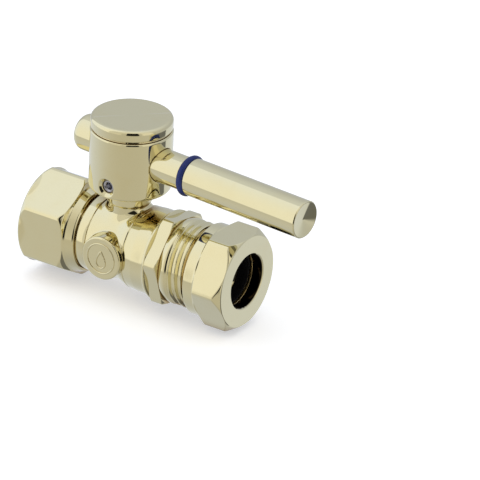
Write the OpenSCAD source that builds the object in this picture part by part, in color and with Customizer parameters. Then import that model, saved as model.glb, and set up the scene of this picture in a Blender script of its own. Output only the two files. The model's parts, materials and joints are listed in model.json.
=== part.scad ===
// Straight quarter-turn supply stop: hexagonal threaded inlet, ball body with a side boss,
// slip-joint outlet nut, and a round handle hub crossed by a lever rod.
// Millimetres. The origin is the centre of the inlet mouth, +X is the flow direction and
// +Z points up the stem.

/* [Inlet] */
// Width across the flats of the inlet hexagon
inlet_af = 22.2; // [21.6:0.1:24]
// Length of the inlet hexagon, from the mouth to its turned collar
inlet_len = 12.6; // [12.1:0.1:13.6]
// Minor radius of the female inlet thread
inlet_hole_r = 7.5; // [7:0.05:8]
// Depth of the female inlet thread
inlet_hole_len = 11.6; // [9:0.1:11.8]

/* [Body] */
// Distance from the inlet mouth to the stem axis
stem_x = 24; // [23.8:0.1:24.4]
// Radius of the raised band at the inlet side
band_r = 9.45; // [9.35:0.05:9.9]
// Radius of the barrel around the ball
barrel_r = 9.25; // [8.9:0.05:9.3]
// Radius of the barrel at the outlet side
shoulder_r = 10.4; // [10.2:0.05:10.6]
// Radius of the round boss on the side
boss_r = 5.4; // [4.8:0.1:5.8]
// Distance from the pipe axis to the face of the side boss
boss_face = 11.05; // [10.6:0.05:12]
// Radius of the neck that holds the stem
neck_r = 5; // [4.6:0.05:5.2]
// Height of the top of the neck above the pipe axis
neck_top = 13.4; // [13:0.1:13.6]
// Width across the flats of the wrench flange
flange_af = 20.5; // [20.2:0.1:22]
// Thickness of the wrench flange
flange_t = 3.3; // [2.5:0.1:3.6]

/* [Flow path] */
// Radius of the ball
ball_r = 6.6; // [6.5:0.05:6.65]
// Radius of the flow bore
port_r = 4; // [3.6:0.05:4.1]
// Radius of the tube socket and of the hole in the outlet nut
tube_hole_r = 6.6; // [6.45:0.05:6.7]

/* [Outlet thread and nut] */
// Outside radius of the outlet thread
thread_r = 10.45; // [10.3:0.05:10.6]
// Pitch of the outlet thread
thread_pitch = 1.814; // [1.5:0.001:2]
// Width across the flats of the outlet nut
nut_af = 22.2; // [21.8:0.1:24]
// Radius of the plain skirt of the outlet nut
nut_skirt_r = 11.2; // [11.1:0.05:11.5]
// Length of the outlet nut
nut_len = 10.7; // [10:0.1:11.8]

/* [Handle] */
// Radius of the handle hub
hub_r = 9.8; // [9.4:0.05:10.4]
// Height of the underside of the hub above the pipe axis
hub_bottom = 14.8; // [14.7:0.05:15.2]
// Height of the top of the hub cap above the pipe axis
handle_top = 32.9; // [32.6:0.1:34]
// Height of the lever rod above the pipe axis
lever_z = 23.06; // [23:0.01:23.3]
// Radius of the lever grip
grip_r = 4.5; // [4.3:0.05:4.9]
// Radius of the rod where it crosses the hub
rod_r = 4.05; // [3.9:0.05:4.1]
// Reach of the lever from the stem axis to its tip
lever_reach = 51.1; // [40:0.1:65]
// Radius of the short stub behind the hub
stub_r = 4.45; // [4.1:0.05:4.6]
// Height of the stub above the pipe axis
stub_z = 24.3; // [23.7:0.05:24.6]
// Reach of the stub from the stem axis to its end
stub_reach = 14.8; // [13:0.1:18]
// Distance from the stem axis to the indicator ring
ring_at = 17.8; // [16:0.1:20]
// Section diameter of the indicator ring
ring_section = 1.78; // [1.6:0.02:1.9]
// Turn of the lever towards closed, in degrees, seen clockwise from above
lever_turn = 4.9; // [0:0.1:45]

/* [Hidden] */
$fn = 96;
eps = 0.01;
// Clearance between pieces that turn or slide on each other, on the radius
run_gap = 0.05;
// Clearance between pieces that are screwed or pushed together and stay put
seat_gap = 0.02;

// Stations along the pipe axis, measured from the inlet mouth
body_x0 = stem_x - 9;
band_x0 = stem_x - 8.45;
band_x1 = stem_x - 6;
rise_x0 = stem_x + 1;
rise_x1 = stem_x + 4.6;
collar_x0 = stem_x + 11.2;
flange_x0 = stem_x + 12;
flange_x1 = flange_x0 + flange_t;
body_x1 = stem_x + 29;
nut_x1 = stem_x + 33.5;
nut_x0 = nut_x1 - nut_len;
nut_hex_x0 = nut_x1 - 7.8;
socket_x0 = stem_x + 17.5;
cone_x0 = stem_x + 26;

// Body and connector details
mouth_rim_r = 11.55;
body_neck_r = 9.3;
boss_root = 7.2;
boss_edge = 0.35;
band_edge = 0.1;
step_h = 0.22;
collar_r = 11.1;
neck_lip_r = 5.35;
neck_lip_h = 2.1;

// Ball chamber: ball, seats and the connector nose
cavity_r = 6.9;
seat_r = 6.8;
seat_in = 4.05;
seat_out = 6.2;
nose_r = 7.6;
nose_x1 = stem_x - 7.9;
pilot_r = seat_r;
pilot_x1 = stem_x - seat_out - run_gap;
seal_r = 0.6;
seal_x = stem_x - 7.15;

// Stem, from its tang in the ball to its top in the hub
stem_r = 2.5;
tang_z = 4.9;
tang_w = 2.3;
tang_l = 5.2;
shoulder_z0 = 6.7;
shoulder_z1 = 7.6;
stem_shoulder_r = 3.4;
washer_z1 = 8.2;
stem_top = 18.6;
stem_flat = 1.9;
o_ring_r = 0.5;
o_ring_lower_z = 9.6;
o_ring_upper_z = 11.9;

// Washer under the hub and the quarter-turn stop
hub_washer_r = 5.3;
hub_washer_t = 1;
stop_pin_r = 0.6;
stop_pin_at = 3.6;
stop_pin_z0 = 11;
stop_pin_z1 = 16.3;
stop_pin_angle = 90;
stop_slot_gap = 0.15;
stop_slot_z1 = 16.7;
turn_total = 90;

// Hub and cap
hub_shoulder = 29.75;
hub_groove_r = 9.2;
cap_z0 = 30.2;
cap_r = 9.7;
spigot_r = 7.5;
spigot_top = 31.6;
edge_r = 0.9;
hub_edge = 0.6;

// Screws
set_screw_r = 1.5;
set_screw_z = 17.65;
set_screw_turn = 3.5;
set_screw_recess = 1.1;
set_screw_sink_r = 2.35;
set_screw_socket = 1.6;
grub_r = 2;
grub_len = 4.2;
grub_at = 4.6;

// Grip and indicator ring
ring_groove_w = 2;
ring_groove_r = 3.15;
ring_centre_r = ring_groove_r + ring_section / 2;
grip_chamfer = 0.25;
grip_dish_r = 14;
rod_root = -0.5;
stub_root = 1.5;
stub_edge = 1.6;

// Slip joint
cone_large_r = 8.7;
cone_tail = 0.8;
ring_t = 0.8;

function hex_corner_r(af) = af / (2 * cos(30));

// Points of a quarter-round outer corner, from the side of a revolved piece to its end
function round_corner(r, x, e, up, steps = 6) =
    [for (i = [0:steps])
        let (a = up * 90 * i / steps)
        [r - e + e * cos(a), x - up * e + e * sin(a)]];

// Points of a smooth rise in radius between two stations
function smooth_rise(r0, r1, x0, x1, steps = 8) =
    [for (i = [0:steps])
        [r0 + (r1 - r0) * (1 - cos(180 * i / steps)) / 2, x0 + (x1 - x0) * i / steps]];

module along_x(x = 0, turn = 0) {
    translate([x, 0, 0])
        rotate([0, 90, 0])
            rotate([0, 0, turn])
                children();
}

// Everything on the handle shares the lever's turn about the stem
module on_handle() {
    translate([stem_x, 0, 0])
        rotate([0, 0, -lever_turn])
            children();
}

module at_stem() {
    translate([stem_x, 0, 0])
        children();
}

// Hexagon along X whose ends are turned to the given revolved profile
module turned_hex(af, x0, x1, profile, turn = 0) {
    intersection() {
        along_x(x0, turn) cylinder(r = hex_corner_r(af), h = x1 - x0, $fn = 6);
        along_x() rotate_extrude() polygon(profile);
    }
}

module tube_ring(r_in, r_out, h) {
    difference() {
        cylinder(r = r_out, h = h);
        translate([0, 0, -eps]) cylinder(r = r_in, h = h + 2 * eps);
    }
}

module o_ring(centre_r, section_r) {
    rotate_extrude() translate([centre_r, 0]) circle(r = section_r, $fn = 48);
}

// One side of the thread: rounded crests at each pitch, on a core as deep as the thread
module thread_profile(x0, x1, r, pitch) {
    depth = 0.6 * pitch;
    crest = 0.3 * pitch;
    turns = floor((x1 - x0) / pitch);
    polygon(concat(
        [[0, x0], [r - depth, x0]],
        [for (i = [0:turns - 1], p = [
            [r - depth, 0.1],
            [r - 0.12, 0.5 - 0.5 * crest / pitch],
            [r, 0.5],
            [r - 0.12, 0.5 + 0.5 * crest / pitch],
            [r - depth, 0.9]])
            [p[0], x0 + (i + p[1]) * pitch]],
        [[r - depth, x1], [0, x1]]));
}

module body_outside() {
    along_x() rotate_extrude() polygon(concat(
        [[0, body_x0], [body_neck_r, body_x0], [body_neck_r, band_x0]],
        [[band_r - band_edge, band_x0], [band_r, band_x0 + band_edge]],
        [[band_r, band_x1 - band_edge], [band_r - band_edge, band_x1]],
        [[barrel_r, band_x1]],
        smooth_rise(barrel_r, shoulder_r - 2 * step_h, rise_x0, rise_x1),
        smooth_rise(shoulder_r - step_h, shoulder_r, rise_x1 + step_h / 2, rise_x1 + 3),
        [[shoulder_r, collar_x0], [collar_r - 0.2, collar_x0], [collar_r, collar_x0 + 0.2]],
        [[collar_r, flange_x0 - 0.15], [10, flange_x0 + 0.15], [0, flange_x0 + 0.15]]));
    wrench_flange();
    along_x() rotate_extrude()
        thread_profile(flange_x1 - eps, body_x1, thread_r, thread_pitch);
    at_stem() cylinder(r = neck_r, h = neck_top);
    at_stem() translate([0, 0, neck_top - neck_lip_h]) cylinder(r = neck_lip_r, h = neck_lip_h);
    at_stem() side_boss();
}

module wrench_flange() {
    corner = hex_corner_r(flange_af);
    turned_hex(flange_af, flange_x0, flange_x1, turn = 19, profile = [
        [0, flange_x0], [corner - 0.5, flange_x0], [corner + eps, flange_x0 + 0.3],
        [corner + eps, flange_x1 - 0.4], [corner - 0.8, flange_x1], [0, flange_x1]]);
}

// Round boss facing -Y, with a plain water-drop mark standing on it
module side_boss() {
    rotate([90, 0, 0]) {
        rotate_extrude() polygon([
            [0, boss_root], [boss_r, boss_root], [boss_r, boss_face - boss_edge],
            [boss_r - boss_edge, boss_face], [0, boss_face]]);
        translate([0, 0, boss_face - eps]) linear_extrude(0.2) drop_mark();
    }
}

module drop_mark() {
    translate([0, -0.6]) circle(r = 1.5);
    polygon([[-1.3, 0.15], [0, 2.7], [1.3, 0.15]]);
}

module valve_body() {
    color("#cfc79c")
    difference() {
        body_outside();
        // ball chamber, connector thread, outlet passage and tube socket
        along_x(nose_x1 - eps) cylinder(r = cavity_r, h = stem_x + seat_out - nose_x1 + run_gap);
        along_x(body_x0 - eps) cylinder(r = nose_r + seat_gap, h = nose_x1 - body_x0 + eps);
        along_x(stem_x) cylinder(r = port_r, h = body_x1 - stem_x);
        along_x(socket_x0) cylinder(r = tube_hole_r, h = body_x1 - socket_x0 + eps);
        along_x(cone_x0)
            cylinder(r1 = tube_hole_r, r2 = cone_large_r, h = body_x1 - cone_x0 + eps);
        // pocket of the stem's shoulder, stem bore and stop pin hole
        at_stem() cylinder(r = stem_shoulder_r + 0.1, h = washer_z1 + seat_gap);
        at_stem() cylinder(r = stem_r + run_gap, h = neck_top + 1);
        at_stem() rotate([0, 0, stop_pin_angle]) translate([stop_pin_at, 0, stop_pin_z0])
            cylinder(r = stop_pin_r, h = neck_top, $fn = 32);
    }
}

module inlet_connector() {
    corner = hex_corner_r(inlet_af);
    color("#d6cea4")
    difference() {
        union() {
            turned_hex(inlet_af, 0, inlet_len, profile = [
                [0, 0.3], [corner - 1.2, 0.3], [corner + eps, 1.9],
                [corner + eps, inlet_len - 1], [inlet_af / 2, inlet_len], [0, inlet_len]]);
            // round rim at the mouth, and the turned collar against the body
            along_x() rotate_extrude() polygon([
                [0, 0], [mouth_rim_r - 0.3, 0], [mouth_rim_r, 0.3], [mouth_rim_r, 0.6],
                [inlet_af / 2 - 0.2, 2.2], [0, 2.2]]);
            along_x() rotate_extrude() polygon([
                [0, inlet_len - eps], [inlet_af / 2 - 0.15, inlet_len - eps],
                [10.65, inlet_len + 0.35], [10.05, body_x0 - 0.3],
                [9.8, body_x0], [0, body_x0]]);
            along_x(body_x0 - eps) cylinder(r = nose_r, h = nose_x1 - body_x0);
            along_x(nose_x1 - 2 * eps) cylinder(r = pilot_r, h = pilot_x1 - nose_x1);
        }
        along_x(-eps) cylinder(r = inlet_hole_r, h = inlet_hole_len + eps);
        along_x() cylinder(r = port_r, h = stem_x);
        along_x(seal_x - seal_r - 0.05)
            tube_ring(pilot_r - 2 * seal_r - 0.05, pilot_r + 0.1, 2 * seal_r + 0.1);
    }
}

module body_seal_ring() {
    color("#26241f") along_x(seal_x) o_ring(pilot_r - seal_r, seal_r);
}

// Seat ring hollowed to the ball, on the outlet side
module seat_ring() {
    difference() {
        along_x(seat_in) tube_ring(port_r, seat_r, seat_out - seat_in);
        sphere(r = ball_r + run_gap);
    }
}

module inlet_seat() {
    color("#f1f0ea") at_stem() mirror([1, 0, 0]) seat_ring();
}

module outlet_seat() {
    color("#f1f0ea") at_stem() seat_ring();
}

module ball() {
    color("#d8dadc") on_handle() difference() {
        sphere(r = ball_r);
        along_x(-ball_r - 1) cylinder(r = port_r, h = 2 * ball_r + 2);
        translate([-tang_w / 2 - 0.1, -ball_r, tang_z - 0.1])
            cube([tang_w + 0.2, 2 * ball_r, ball_r]);
    }
}

module stem() {
    color("#c9bd8a") on_handle() difference() {
        union() {
            intersection() {
                translate([-tang_w / 2, -tang_l / 2, tang_z])
                    cube([tang_w, tang_l, shoulder_z0 - tang_z + eps]);
                cylinder(r = tang_l / 2, h = shoulder_z0 + 1);
            }
            translate([0, 0, shoulder_z0])
                cylinder(r = stem_shoulder_r, h = shoulder_z1 - shoulder_z0);
            translate([0, 0, shoulder_z1 - eps])
                rotate_extrude() polygon([
                    [0, 0], [stem_r, 0], [stem_r, stem_top - shoulder_z1 - 0.5],
                    [stem_r - 0.5, stem_top - shoulder_z1], [0, stem_top - shoulder_z1]]);
        }
        for (z = [o_ring_lower_z, o_ring_upper_z])
            translate([0, 0, z - o_ring_r - 0.1])
                tube_ring(stem_r - 1, stem_r + 0.2, 2 * o_ring_r + 0.2);
        rotate([0, 0, set_screw_turn]) translate([-stem_r, -stem_flat - stem_r, set_screw_z - 2])
            cube([2 * stem_r, stem_r, stem_top]);
    }
}

module stem_thrust_washer() {
    color("#f1f0ea") on_handle() translate([0, 0, shoulder_z1 + seat_gap])
        tube_ring(stem_r + run_gap, stem_shoulder_r, washer_z1 - shoulder_z1 - 2 * seat_gap);
}

module stem_seal(z) {
    on_handle() translate([0, 0, z]) o_ring(stem_r - 0.47, o_ring_r);
}

module stem_o_ring_lower() {
    color("#26241f") stem_seal(o_ring_lower_z);
}

module stem_o_ring_upper() {
    color("#26241f") stem_seal(o_ring_upper_z);
}

module handle_washer() {
    color("#cfc79c") at_stem() difference() {
        translate([0, 0, neck_top + seat_gap])
            tube_ring(stem_r + run_gap, hub_washer_r, hub_washer_t);
        rotate([0, 0, stop_pin_angle]) translate([stop_pin_at, 0, neck_top - 1])
            cylinder(r = stop_pin_r + seat_gap, h = hub_washer_t + 2, $fn = 32);
    }
}

module stop_pin() {
    color("#9a9a98") at_stem() rotate([0, 0, stop_pin_angle])
        translate([stop_pin_at, 0, stop_pin_z0 + seat_gap])
            cylinder(r = stop_pin_r - seat_gap, h = stop_pin_z1 - stop_pin_z0, $fn = 32);
}

// Arc slot under the hub whose two ends meet the stop pin a quarter turn apart
module stop_slot() {
    slot_r = stop_pin_r + stop_slot_gap;
    start = stop_pin_angle;
    h = stop_slot_z1 - hub_bottom + 1;
    translate([0, 0, hub_bottom - 1]) {
        rotate([0, 0, start]) rotate_extrude(angle = turn_total)
            translate([stop_pin_at - slot_r, 0]) square([2 * slot_r, h]);
        for (a = [start, start + turn_total])
            rotate([0, 0, a]) translate([stop_pin_at, 0, 0])
                cylinder(r = slot_r, h = h, $fn = 32);
    }
}

module handle_hub() {
    color("#cfc79c") on_handle() difference() {
        rotate_extrude() polygon(concat(
            [[0, spigot_top], [0, hub_bottom], [hub_r - hub_edge, hub_bottom]],
            [for (i = [1:6])
                [hub_r - hub_edge + hub_edge * sin(15 * i),
                 hub_bottom + hub_edge * (1 - cos(15 * i))]],
            [[hub_r, hub_shoulder - 0.3], [hub_r - 0.3, hub_shoulder]],
            [[hub_groove_r, hub_shoulder], [hub_groove_r, cap_z0 - seat_gap]],
            [[spigot_r, cap_z0 - seat_gap], [spigot_r, spigot_top]]));
        // stem socket, and the blind bores of the rod and the stub
        translate([0, 0, hub_bottom - 1])
            cylinder(r = stem_r + seat_gap, h = stem_top - hub_bottom + 1.1);
        along_x(rod_root - seat_gap) translate([-lever_z, 0, 0])
            cylinder(r = rod_r + seat_gap, h = 2 * hub_r);
        along_x(-2 * hub_r) translate([-stub_z, 0, 0])
            cylinder(r = stub_r + seat_gap, h = 2 * hub_r - stub_root + seat_gap);
        stop_slot();
        // tapped hole and countersink of the set screw
        translate([0, 0, set_screw_z]) rotate([90, 0, set_screw_turn]) {
            cylinder(r = set_screw_r + seat_gap, h = hub_r + 1, $fn = 48);
            translate([0, 0, hub_r - 0.8])
                cylinder(r1 = set_screw_r, r2 = set_screw_sink_r, h = 0.9, $fn = 48);
        }
        // tapped hole of the grub screw that locks the rod
        translate([grub_at, 0, lever_z]) cylinder(r = grub_r + seat_gap, h = hub_r, $fn = 48);
    }
}

module hub_cap() {
    color("#cfc79c") on_handle() difference() {
        rotate_extrude() polygon(concat(
            [[0, handle_top], [0, cap_z0], [cap_r - 0.3, cap_z0], [cap_r, cap_z0 + 0.3]],
            round_corner(cap_r, handle_top, edge_r, 1)));
        translate([0, 0, cap_z0 - 1]) cylinder(r = spigot_r + seat_gap, h = spigot_top - cap_z0 + 1.1);
    }
}

module lever_rod() {
    color("#d6cea4") on_handle() difference() {
        translate([0, 0, lever_z]) along_x() rotate_extrude() polygon(concat(
            [[0, lever_reach], [0, rod_root], [rod_r - 0.4, rod_root], [rod_r, rod_root + 0.4]],
            [[rod_r, ring_at - ring_groove_w / 2], [ring_groove_r, ring_at - ring_groove_w / 2]],
            [[ring_groove_r, ring_at + ring_groove_w / 2]],
            [[grip_r, ring_at + ring_groove_w / 2], [grip_r, lever_reach - grip_chamfer]],
            [[grip_r - grip_chamfer, lever_reach]]));
        // shallow dish turned in the tip
        translate([lever_reach + sqrt(pow(grip_dish_r, 2) - pow(grip_r - 1, 2)), 0, lever_z])
            sphere(r = grip_dish_r, $fn = 180);
        // dimple for the point of the grub screw
        translate([grub_at, 0, lever_z + rod_r - 0.6]) cylinder(r = 1.2, h = 2, $fn = 48);
    }
}

module rear_stub() {
    color("#d6cea4") on_handle() translate([0, 0, stub_z]) along_x(-stub_root)
        rotate([180, 0, 0]) rotate_extrude() polygon(concat(
            [[0, 0], [stub_r - 0.3, 0], [stub_r, 0.3]],
            round_corner(stub_r, stub_reach - stub_root, stub_edge, 1),
            [[0, stub_reach - stub_root]]));
}

module indicator_ring() {
    color("#1f2f6f") on_handle() translate([0, 0, lever_z]) along_x(ring_at)
        o_ring(ring_centre_r, ring_section / 2);
}

// Headless screw along +Z with a hexagonal socket in its top and a dog point below
module socket_screw(r, len, socket_af, point_r, point_len) {
    difference() {
        union() {
            translate([0, 0, point_len]) cylinder(r = r, h = len - point_len, $fn = 48);
            cylinder(r = point_r, h = point_len + eps, $fn = 48);
        }
        translate([0, 0, len * 0.6]) cylinder(r = hex_corner_r(socket_af), h = len, $fn = 6);
    }
}

module hub_set_screw() {
    start = stem_flat + seat_gap;
    color("#b9bbbd") on_handle() translate([0, 0, set_screw_z]) rotate([90, 0, set_screw_turn])
        translate([0, 0, start])
            socket_screw(set_screw_r, hub_r - set_screw_recess - start, set_screw_socket, 1, 0.6);
}

module lever_grub_screw() {
    color("#b9bbbd") on_handle() translate([grub_at, 0, lever_z + rod_r - 0.58])
        socket_screw(grub_r, grub_len, 2, 1.15, 0.6);
}

// Rubber washer, tapered to the mouth of the body, round the tube
module cone_washer() {
    slope = (cone_large_r - tube_hole_r) / (body_x1 - cone_x0);
    tip = body_x1 - 2.2;
    tip_r = tube_hole_r + slope * (tip - cone_x0) - 0.06;
    color("#2a2826") along_x() rotate_extrude() polygon([
        [tube_hole_r, tip], [tip_r, tip], [cone_large_r - 0.06, body_x1],
        [cone_large_r - 0.06, body_x1 + cone_tail], [tube_hole_r, body_x1 + cone_tail]]);
}

module friction_ring() {
    color("#cfc79c") along_x(body_x1 + cone_tail + seat_gap)
        tube_ring(tube_hole_r, thread_r - 0.75, ring_t);
}

module slip_nut() {
    corner = hex_corner_r(nut_af);
    floor_x = body_x1 + cone_tail + ring_t + 2 * seat_gap;
    color("#d6cea4") difference() {
        union() {
            turned_hex(nut_af, nut_hex_x0, nut_x1, turn = 30, profile = [
                [0, nut_hex_x0], [nut_skirt_r, nut_hex_x0], [corner + eps, nut_hex_x0 + 0.95],
                [corner + eps, nut_x1 - 2.1], [nut_af / 2 + 0.1, nut_x1], [0, nut_x1]]);
            along_x() rotate_extrude() polygon([
                [0, nut_x0], [nut_skirt_r - 0.3, nut_x0], [nut_skirt_r, nut_x0 + 0.3],
                [nut_skirt_r, nut_hex_x0 + 0.1], [0, nut_hex_x0 + 0.1]]);
        }
        along_x(nut_x0 - eps) cylinder(r = thread_r + run_gap, h = floor_x - nut_x0 + eps);
        along_x(nut_x0) cylinder(r = tube_hole_r, h = nut_len + 1);
    }
}

valve_body();
inlet_connector();
body_seal_ring();
inlet_seat();
outlet_seat();
ball();
stem();
stem_thrust_washer();
stem_o_ring_lower();
stem_o_ring_upper();
handle_washer();
stop_pin();
handle_hub();
hub_cap();
lever_rod();
rear_stub();
indicator_ring();
hub_set_screw();
lever_grub_screw();
cone_washer();
friction_ring();
slip_nut();
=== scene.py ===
"""Looks of the straight quarter-turn stop valve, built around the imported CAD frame."""

import json
import math

import bpy
import numpy as np
from mathutils import Matrix, Vector

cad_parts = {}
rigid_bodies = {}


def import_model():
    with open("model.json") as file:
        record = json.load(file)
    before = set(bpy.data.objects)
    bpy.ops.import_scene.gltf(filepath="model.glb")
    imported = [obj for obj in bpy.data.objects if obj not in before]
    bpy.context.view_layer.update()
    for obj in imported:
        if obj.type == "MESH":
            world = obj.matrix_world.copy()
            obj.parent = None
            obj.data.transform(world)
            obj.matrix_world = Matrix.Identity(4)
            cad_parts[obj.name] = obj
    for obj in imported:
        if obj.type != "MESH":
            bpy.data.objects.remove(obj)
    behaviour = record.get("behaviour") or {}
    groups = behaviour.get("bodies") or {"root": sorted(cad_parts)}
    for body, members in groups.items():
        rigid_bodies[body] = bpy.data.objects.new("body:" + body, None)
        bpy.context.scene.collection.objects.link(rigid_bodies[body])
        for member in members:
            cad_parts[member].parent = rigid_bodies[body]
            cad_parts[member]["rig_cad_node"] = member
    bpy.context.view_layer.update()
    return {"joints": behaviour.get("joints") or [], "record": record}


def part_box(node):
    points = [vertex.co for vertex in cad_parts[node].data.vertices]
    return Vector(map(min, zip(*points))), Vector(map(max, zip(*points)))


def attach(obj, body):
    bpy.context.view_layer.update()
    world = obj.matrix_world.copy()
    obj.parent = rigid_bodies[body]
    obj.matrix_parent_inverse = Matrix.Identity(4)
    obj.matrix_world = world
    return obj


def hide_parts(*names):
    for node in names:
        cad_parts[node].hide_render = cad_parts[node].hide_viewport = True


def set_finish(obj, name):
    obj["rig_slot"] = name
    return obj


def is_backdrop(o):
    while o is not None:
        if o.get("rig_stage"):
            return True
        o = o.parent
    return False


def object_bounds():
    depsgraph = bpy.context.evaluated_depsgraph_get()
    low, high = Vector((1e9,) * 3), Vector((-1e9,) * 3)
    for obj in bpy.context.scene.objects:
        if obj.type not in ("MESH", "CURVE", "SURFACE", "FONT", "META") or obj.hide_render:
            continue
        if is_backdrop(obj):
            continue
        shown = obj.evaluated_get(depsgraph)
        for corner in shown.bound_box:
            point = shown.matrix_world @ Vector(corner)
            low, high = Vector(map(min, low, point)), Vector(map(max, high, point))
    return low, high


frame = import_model()

MM = 0.001
TAU = 2 * math.pi


# ---------------------------------------------------------------- places, from the frame (mm)

def box_mm(node):
    low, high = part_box(node)
    return [c / MM for c in low], [c / MM for c in high]


def joint(name):
    return next(j for j in frame["joints"] if j["name"] == name)


def mount(name):
    return next(m for m in frame["record"]["mounts"] if m["name"] == name)


STEM_X = joint("lever_turn")["pos_m"][0] / MM
# how far the lever, as modelled, is from fully open
OPEN_ANGLE = math.radians(joint("lever_turn")["range_deg"][1])
BODY_LOW, BODY_HIGH = box_mm("valve_body")
INLET_HIGH = box_mm("inlet_connector")[1]
NUT_LOW, NUT_HIGH = box_mm("slip_nut")
HUB_LOW, HUB_HIGH = box_mm("handle_hub")
CAP_LOW, CAP_HIGH = box_mm("hub_cap")
WASHER_LOW, WASHER_HIGH = box_mm("handle_washer")
RING_LOW, RING_HIGH = box_mm("indicator_ring")
CONE_LOW, CONE_HIGH = box_mm("cone_washer")
FRICTION_LOW, FRICTION_HIGH = box_mm("friction_ring")
SEAT_HIGH = box_mm("outlet_seat")[1]
TUBE_R = mount("outlet")["dims"]["r_mm"]
INLET_R = mount("inlet")["dims"]["r_mm"]
THREAD_PITCH = 1.814
PORT_R = 4.0


# ---------------------------------------------------------------- mesh tools

def new_object(name, verts, faces, body, slot, turn=None):
    """Makes a smooth-shaded piece from millimetre points, and rides it on a CAD body."""
    mesh = bpy.data.meshes.new(name)
    mesh.from_pydata((np.asarray(verts) * MM).tolist(), [], faces)
    if turn is not None:
        mesh.transform(turn)
    mesh.update()
    mesh.shade_smooth()
    piece = bpy.data.objects.new(name, mesh)
    bpy.context.collection.objects.link(piece)
    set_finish(piece, slot)
    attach(piece, body)
    return piece


def weighted_normals(piece):
    """Keeps flat faces flat in reflections, so that only the small rounds bend the light."""
    modifier = piece.modifiers.new("weighted normals", "WEIGHTED_NORMAL")
    modifier.weight = 80
    modifier.keep_sharp = False


def rounded(corners, step=1.5, closed=True, arc_steps=5):
    """Points of an outline of (x, r, fillet) corners, filleted, with long straights divided."""
    count = len(corners)
    points = []
    for i, (x, r, fillet) in enumerate(corners):
        here = Vector((x, r))
        if fillet <= 0 or (not closed and i in (0, count - 1)):
            points.append(here)
            continue
        before = (Vector(corners[i - 1][:2]) - here)
        after = (Vector(corners[(i + 1) % count][:2]) - here)
        room = 0.48 * min(before.length, after.length)
        before.normalize()
        after.normalize()
        half = before.angle(after) / 2
        cut = min(fillet / math.tan(half), room)
        radius = cut * math.tan(half)
        centre = here + (before + after).normalized() * (radius / math.sin(half))
        start = here + before * cut - centre
        end = here + after * cut - centre
        turn = start.angle(end)
        for k in range(arc_steps + 1):
            t = k / arc_steps
            mix = (start * math.sin((1 - t) * turn) + end * math.sin(t * turn)) / math.sin(turn)
            points.append(centre + mix)
    dense = []
    pairs = len(points) if closed else len(points) - 1
    for i in range(pairs):
        a = points[i]
        b = points[(i + 1) % len(points)]
        parts = max(1, math.ceil((b - a).length / step))
        dense += [a.lerp(b, k / parts) for k in range(parts)]
    if not closed:
        dense.append(points[-1])
    return np.array(dense)


def lathe(name, outline, body, slot, shape=None, segments=192, closed=True, turn=None):
    """Turns an (x, r) outline about X. shape(x, r, angle) may reshape each point."""
    angles = np.arange(segments) * TAU / segments
    x = np.repeat(outline[None, :, 0], segments, axis=0)
    r = np.repeat(outline[None, :, 1], segments, axis=0)
    a = np.repeat(angles[:, None], outline.shape[0], axis=1)
    if shape:
        x, r = shape(x, r, a)
    verts = np.stack([x, r * np.cos(a), r * np.sin(a)], axis=-1).reshape(-1, 3)
    n = outline.shape[0]
    index = np.arange(segments * n).reshape(segments, n)
    ahead = np.roll(index, -1, axis=0)
    if closed:
        nxt = np.roll(index, -1, axis=1)
        nxt_ahead = np.roll(ahead, -1, axis=1)
        quads = np.stack([index, nxt, nxt_ahead, ahead], axis=-1).reshape(-1, 4)
        faces = quads.tolist()
    else:
        # the two end columns lie on the axis: each becomes one point
        first = index[0, 0]
        last = index[0, -1]
        inner = np.stack([index[:, 1:-2], index[:, 2:-1], ahead[:, 2:-1], ahead[:, 1:-2]], axis=-1)
        faces = inner.reshape(-1, 4).tolist()
        faces += [[first, index[i, 1], ahead[i, 1]] for i in range(segments)]
        faces += [[index[i, -2], last, ahead[i, -2]] for i in range(segments)]
        keep = np.ones(segments * n, bool)
        keep[index[1:, 0]] = False
        keep[index[1:, -1]] = False
        renumber = np.cumsum(keep) - 1
        verts = verts[keep]
        faces = [[int(renumber[v]) for v in f] for f in faces]
    faces = oriented(verts, faces)
    piece = new_object(name, verts, faces, body, slot, turn)
    weighted_normals(piece)
    return piece


def oriented(verts, faces):
    """Turns all faces over if the closed mesh is inside out."""
    fan = np.array([(f[0], f[k], f[k + 1]) for f in faces for k in range(1, len(f) - 1)])
    p, q, s = (np.asarray(verts)[fan[:, k]] for k in range(3))
    volume = (p * np.cross(q, s)).sum()
    return faces if volume > 0 else [f[::-1] for f in faces]


def smooth_min(a, b, k):
    """The smaller of a and b, with the crease between them rounded over a width of k."""
    h = np.clip(0.5 + 0.5 * (b - a) / k, 0, 1)
    return b + (a - b) * h - k * h * (1 - h)


def smooth_max(a, b, k):
    return -smooth_min(-a, -b, k)


def hexagon_radius(angle, across_flats, turn, k=0.35):
    """Distance from the axis to a hexagon with softened corners; turn is a corner's angle.

    Angles are counted from Y towards Z, and k is how far in millimetres the softening reaches.
    """
    sector = np.mod(angle - turn, TAU / 6) - TAU / 12
    plain = across_flats / 2 / np.cos(sector)
    corner = across_flats / math.sqrt(3)
    return smooth_min(plain, np.full_like(plain, corner - 0.12), k)


def hexagonal(across_flats, turn, k=0.22):
    """A lathe shape that cuts the outline to a hexagon, with small rounds where they meet."""
    def shape(x, r, angle):
        return x, smooth_min(r, hexagon_radius(angle, across_flats, turn), k)
    return shape


# ---------------------------------------------------------------- implicit solids

# The eight corners of a grid cell, and its twelve edges as pairs of corners
CELL_CORNERS = np.array([(i, j, k) for i in (0, 1) for j in (0, 1) for k in (0, 1)])
CELL_EDGES = [(a, b) for a in range(8) for b in range(a + 1, 8)
              if np.abs(CELL_CORNERS[a] - CELL_CORNERS[b]).sum() == 1]


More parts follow.
